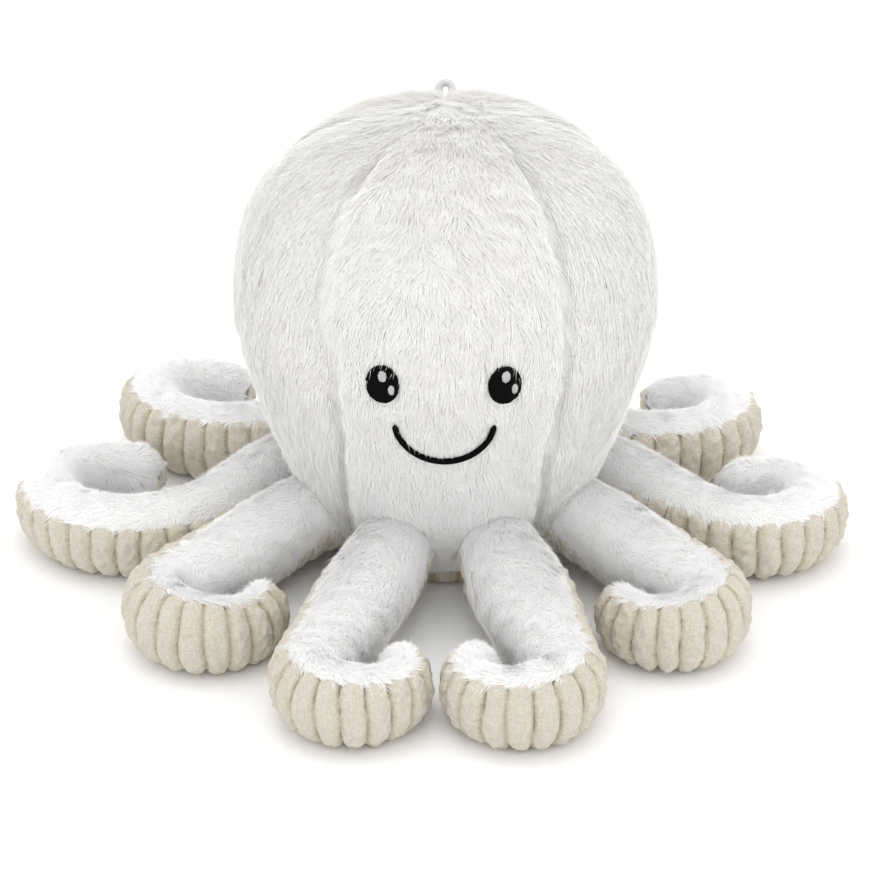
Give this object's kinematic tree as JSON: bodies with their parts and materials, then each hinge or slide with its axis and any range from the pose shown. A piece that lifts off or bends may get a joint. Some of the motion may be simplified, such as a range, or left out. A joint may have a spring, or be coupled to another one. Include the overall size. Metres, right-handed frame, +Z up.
{
  "type": "plush octopus",
  "caption": "Sitting plush octopus with a round furry head, stitched eyes and smile, a hanging loop and curled arms with ribbed undersides.",
  "frame": {"origin": "middle of the flat sole, on the surface that the toy sits on", "axes": "+Z up through the crown; -Y out of the face; +X to the right of someone who faces the toy"},
  "size_m": [0.4007, 0.345, 0.218],
  "materials": {
    "plush_fur": "long fluffy white pile",
    "ribbed_plush": "cream wide-wale ribbed plush",
    "stuffing": "white polyester fibre",
    "black_thread": "glossy satin stitch",
    "grey_thread": "glossy satin stitch",
    "loop_cord": "smooth white cord, slightly see-through"
  },
  "bodies": {
    "body": {"head_stuffing": "stuffing", "face_panel": "plush_fur", "right_side_panel": "plush_fur", "right_back_panel": "plush_fur", "left_back_panel": "plush_fur", "left_side_panel": "plush_fur", "sole_panel": "ribbed_plush", "left_eye": "black_thread", "left_eye_upper_glint": "grey_thread", "left_eye_lower_glint": "grey_thread", "right_eye": "black_thread", "right_eye_upper_glint": "grey_thread", "right_eye_lower_glint": "grey_thread", "smile": "black_thread"},
    "loop": {"hanging_loop": "loop_cord"},
    "front_left_arm": {"front_left_arm_fur": "plush_fur", "front_left_arm_ribbed_underside": "ribbed_plush", "front_left_arm_stuffing": "stuffing"},
    "front_right_arm": {"front_right_arm_fur": "plush_fur", "front_right_arm_ribbed_underside": "ribbed_plush", "front_right_arm_stuffing": "stuffing"},
    "fore_left_arm": {"fore_left_arm_fur": "plush_fur", "fore_left_arm_ribbed_underside": "ribbed_plush", "fore_left_arm_stuffing": "stuffing"},
    "fore_right_arm": {"fore_right_arm_fur": "plush_fur", "fore_right_arm_ribbed_underside": "ribbed_plush", "fore_right_arm_stuffing": "stuffing"},
    "hind_left_arm": {"hind_left_arm_fur": "plush_fur", "hind_left_arm_ribbed_underside": "ribbed_plush", "hind_left_arm_stuffing": "stuffing"},
    "hind_right_arm": {"hind_right_arm_fur": "plush_fur", "hind_right_arm_ribbed_underside": "ribbed_plush", "hind_right_arm_stuffing": "stuffing"},
    "rear_left_arm": {"rear_left_arm_fur": "plush_fur", "rear_left_arm_ribbed_underside": "ribbed_plush", "rear_left_arm_stuffing": "stuffing"},
    "rear_right_arm": {"rear_right_arm_fur": "plush_fur", "rear_right_arm_ribbed_underside": "ribbed_plush", "rear_right_arm_stuffing": "stuffing"}
  },
  "joints": [
    {"name": "front_left_arm_lift", "type": "hinge", "parent": "body", "child": "front_left_arm", "pos_m": [-0.0274, -0.0747, 0.051], "axis": [-0.9986, 0.0523, 0], "range_deg": [0, 35]},
    {"name": "front_right_arm_lift", "type": "hinge", "parent": "body", "child": "front_right_arm", "pos_m": [0.0269, -0.0749, 0.051], "axis": [-0.9986, -0.0523, 0], "range_deg": [0, 35]},
    {"name": "fore_left_arm_lift", "type": "hinge", "parent": "body", "child": "fore_left_arm", "pos_m": [-0.0706, -0.0367, 0.051], "axis": [-0.7193, 0.6947, 0], "range_deg": [0, 35]},
    {"name": "fore_right_arm_lift", "type": "hinge", "parent": "body", "child": "fore_right_arm", "pos_m": [0.0689, -0.0398, 0.051], "axis": [-0.7193, -0.6947, 0], "range_deg": [0, 35]},
    {"name": "hind_left_arm_lift", "type": "hinge", "parent": "body", "child": "hind_left_arm", "pos_m": [-0.0785, 0.0129, 0.051], "axis": [-0.4695, 0.8829, 0], "range_deg": [0, 35]},
    {"name": "hind_right_arm_lift", "type": "hinge", "parent": "body", "child": "hind_right_arm", "pos_m": [0.0789, 0.0102, 0.051], "axis": [-0.5, -0.866, 0], "range_deg": [0, 35]},
    {"name": "rear_left_arm_lift", "type": "hinge", "parent": "body", "child": "rear_left_arm", "pos_m": [-0.0499, 0.0619, 0.051], "axis": [0.4226, 0.9063, 0], "range_deg": [0, 35]},
    {"name": "rear_right_arm_lift", "type": "hinge", "parent": "body", "child": "rear_right_arm", "pos_m": [0.052, 0.0602, 0.051], "axis": [0.4226, -0.9063, 0], "range_deg": [0, 35]},
    {"name": "loop_flop", "type": "hinge", "parent": "body", "child": "loop", "pos_m": [0, 0.07053, 0.20169], "axis": [1, 0, 0], "range_deg": [-60, 60], "stiffness_Nm_per_rad": 0.002}
  ]
}
